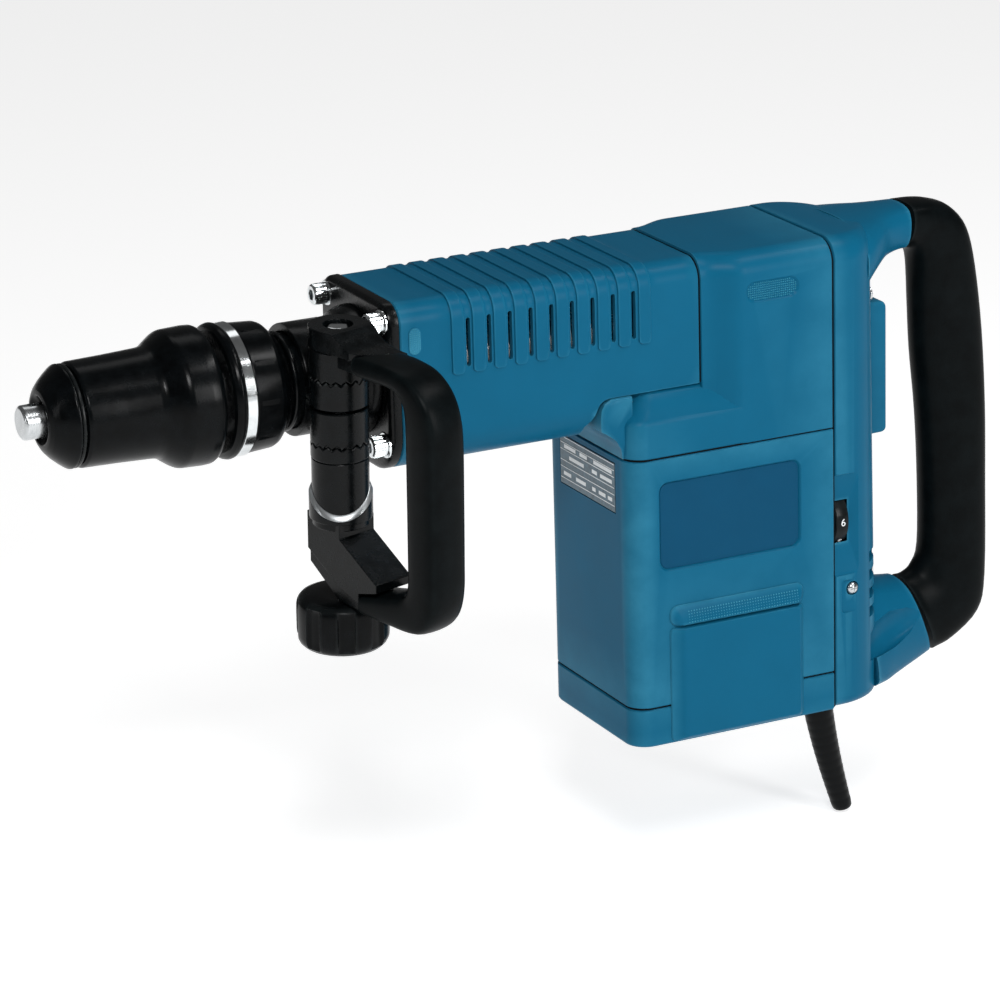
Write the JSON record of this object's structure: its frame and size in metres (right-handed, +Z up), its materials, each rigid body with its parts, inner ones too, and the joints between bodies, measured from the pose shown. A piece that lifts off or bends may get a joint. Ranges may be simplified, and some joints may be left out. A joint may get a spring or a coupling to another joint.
{
  "type": "electric jackhammer",
  "caption": "Electric demolition hammer: keyless chuck with a tool shank, slotted barrel, upright motor body, D rear handle with rocker switch and a swivelling D side handle.",
  "frame": {"origin": "centre of the motor's flat base face", "axes": "+X from the chuck toward the rear handle, +Z up, -Y is the side of the side handle at rest"},
  "size_m": [0.5947, 0.1896, 0.3679],
  "materials": {
    "blue_housing": "satin, fine grained",
    "black_rubber": "matt",
    "black_plastic": "gloss",
    "black_casting": "semi-gloss black coat",
    "steel": "machined",
    "chrome": "polished",
    "copper": "lacquered windings",
    "carbon": "matt",
    "label_panel": "smooth",
    "lamp_lens": "clear dome",
    "circuit_board": "lacquered"
  },
  "bodies": {
    "machine": {"front_neck": "black_casting", "front_flange": "black_casting", "flange_screw_1": "chrome", "flange_screw_2": "chrome", "flange_screw_3": "chrome", "flange_screw_4": "chrome", "barrel_housing": "blue_housing", "hammer_cylinder": "steel", "gear_housing": "blue_housing", "motor_housing": "blue_housing", "base_cap": "blue_housing", "side_cover_left": "blue_housing", "side_cover_right": "blue_housing", "name_panel_left": "label_panel", "name_panel_right": "label_panel", "rating_plate": "steel", "rear_housing": "blue_housing", "rear_grip": "black_rubber", "rear_screw_1": "steel", "rear_screw_2": "steel", "rear_screw_3": "steel", "rear_screw_4": "steel", "switch_block": "black_plastic", "control_module": "circuit_board", "service_lamp": "lamp_lens", "cord_strain_relief": "black_rubber", "motor_stator": "steel", "upper_bearing": "steel", "lower_bearing": "steel", "carbon_brush_left": "carbon", "carbon_brush_right": "carbon"},
    "chuck": {"tool_holder": "steel", "dust_cap": "black_rubber", "adjusting_ring": "black_plastic", "chrome_ring": "chrome", "lock_roller_upper": "steel", "lock_roller_lower": "steel", "sleeve_spring": "steel"},
    "sleeve": {"locking_sleeve": "black_plastic"},
    "tool": {"tool_shank": "chrome"},
    "clamp": {"clamp_jaw_upper": "black_casting", "clamp_jaw_lower": "black_casting"},
    "side_handle": {"aux_upper_arm": "black_casting", "aux_lower_arm": "black_casting", "aux_grip": "black_rubber", "clamp_bolt": "chrome"},
    "knob": {"clamp_knob": "black_plastic"},
    "switch": {"switch_rocker": "blue_housing"},
    "dial": {"speed_dial": "black_plastic"},
    "rotor": {"armature": "copper", "cooling_fan": "black_plastic"},
    "crank": {"crank_gear": "steel"},
    "rod": {"connecting_rod": "steel"},
    "piston": {"piston": "steel"},
    "striker": {"striker": "steel"},
    "anvil": {"anvil": "steel"}
  },
  "joints": [
    {"name": "chuck_turn", "type": "hinge", "parent": "machine", "child": "chuck", "pos_m": [-0.3, 0, 0.2345], "axis": [1, 0, 0], "continuous": true},
    {"name": "sleeve_pull", "type": "slide", "parent": "chuck", "child": "sleeve", "axis": [1, 0, 0], "range_m": [0, 0.004], "stiffness_N_per_m": 3000, "springref_m": -0.004},
    {"name": "tool_travel", "type": "slide", "parent": "chuck", "child": "tool", "axis": [-1, 0, 0], "range_m": [0, 0.01]},
    {"name": "clamp_swivel", "type": "hinge", "parent": "machine", "child": "clamp", "pos_m": [-0.2365, 0, 0.2345], "axis": [1, 0, 0], "continuous": true},
    {"name": "side_handle_swing", "type": "hinge", "parent": "clamp", "child": "side_handle", "pos_m": [-0.2365, -0.04394, 0.2322], "axis": [0, -0.0523, 0.9986], "range_deg": [-80, 20]},
    {"name": "knob_turn", "type": "hinge", "parent": "side_handle", "child": "knob", "pos_m": [-0.2365, -0.03758, 0.11086], "axis": [0, -0.0523, 0.9986], "continuous": true},
    {"name": "switch_press", "type": "hinge", "parent": "machine", "child": "switch", "pos_m": [0.106, 0, 0.151], "axis": [0, -1, 0], "range_deg": [0, 4], "stiffness_Nm_per_rad": 8, "springref_deg": -2.86},
    {"name": "dial_turn", "type": "hinge", "parent": "machine", "child": "dial", "pos_m": [0.0704, -0.0345, 0.1125], "axis": [1, 0, 0], "range_deg": [-225, 0]},
    {"name": "crank_turn", "type": "hinge", "parent": "machine", "child": "crank", "pos_m": [-0.038, 0, 0.214], "axis": [0, 0, 1], "continuous": true},
    {"name": "rotor_turn", "type": "hinge", "parent": "machine", "child": "rotor", "pos_m": [0, 0, 0.1], "axis": [0, 0, 1], "continuous": true},
    {"name": "rod_swing", "type": "hinge", "parent": "crank", "child": "rod", "pos_m": [-0.05, 0, 0.2345], "axis": [0, 0, 1], "continuous": true},
    {"name": "piston_stroke", "type": "slide", "parent": "machine", "child": "piston", "axis": [1, 0, 0], "range_m": [0, 0.024]},
    {"name": "striker_flight", "type": "slide", "parent": "machine", "child": "striker", "axis": [1, 0, 0], "range_m": [0, 0.008]},
    {"name": "anvil_strike", "type": "slide", "parent": "machine", "child": "anvil", "axis": [-1, 0, 0], "range_m": [0, 0.006]}
  ],
  "couplings": [
    {"joint": "rotor_turn", "follows": "crank_turn", "ratio": -2.8333},
    {"joint": "rod_swing", "follows": "crank_turn", "ratio": -1}
  ]
}
